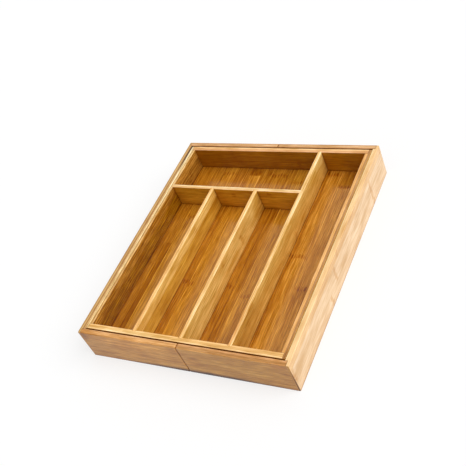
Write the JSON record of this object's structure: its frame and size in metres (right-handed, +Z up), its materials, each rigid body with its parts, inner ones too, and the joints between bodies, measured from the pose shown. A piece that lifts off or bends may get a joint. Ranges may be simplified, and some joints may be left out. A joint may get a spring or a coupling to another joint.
{
  "type": "cutlery tray",
  "caption": "Rectangular bamboo cutlery tray: a divided centre tray held between U-shaped side drawers that slide outwards to widen it.",
  "frame": {"origin": "on the table under the middle of the closed tray's outline", "axes": "+X to the right along the front, +Y to the rear, +Z up"},
  "size_m": [0.295, 0.35, 0.049],
  "materials": {
    "drawer_walls": "sanded bamboo board, clear satin lacquer",
    "centre_walls": "sanded bamboo board with pale edges, clear satin lacquer",
    "dividers": "sanded bamboo board with pale edges, clear satin lacquer",
    "centre_floor": "strip-laminated carbonised bamboo, clear satin lacquer",
    "drawer_floors": "strip-laminated bamboo, clear satin lacquer",
    "guides": "planed bamboo, unlacquered"
  },
  "bodies": {
    "centre_tray": {"centre_front_wall": "centre_walls", "centre_rear_wall": "centre_walls", "centre_left_wall": "centre_walls", "centre_right_wall": "centre_walls", "centre_floor": "centre_floor", "long_divider": "dividers", "cross_divider": "dividers", "left_short_divider": "dividers", "middle_short_divider": "dividers", "front_right_guide": "guides", "rear_right_guide": "guides", "front_left_guide": "guides", "rear_left_guide": "guides"},
    "right_drawer": {"right_drawer_front_wall": "drawer_walls", "right_drawer_rear_wall": "drawer_walls", "right_drawer_side_wall": "drawer_walls", "right_drawer_floor": "drawer_floors"},
    "left_drawer": {"left_drawer_front_wall": "drawer_walls", "left_drawer_rear_wall": "drawer_walls", "left_drawer_side_wall": "drawer_walls", "left_drawer_floor": "drawer_floors"}
  },
  "joints": [
    {"name": "right_drawer_slide", "type": "slide", "parent": "centre_tray", "child": "right_drawer", "axis": [1, 0, 0], "range_m": [0, 0.1]},
    {"name": "left_drawer_slide", "type": "slide", "parent": "centre_tray", "child": "left_drawer", "axis": [-1, 0, 0], "range_m": [0, 0.1]}
  ]
}
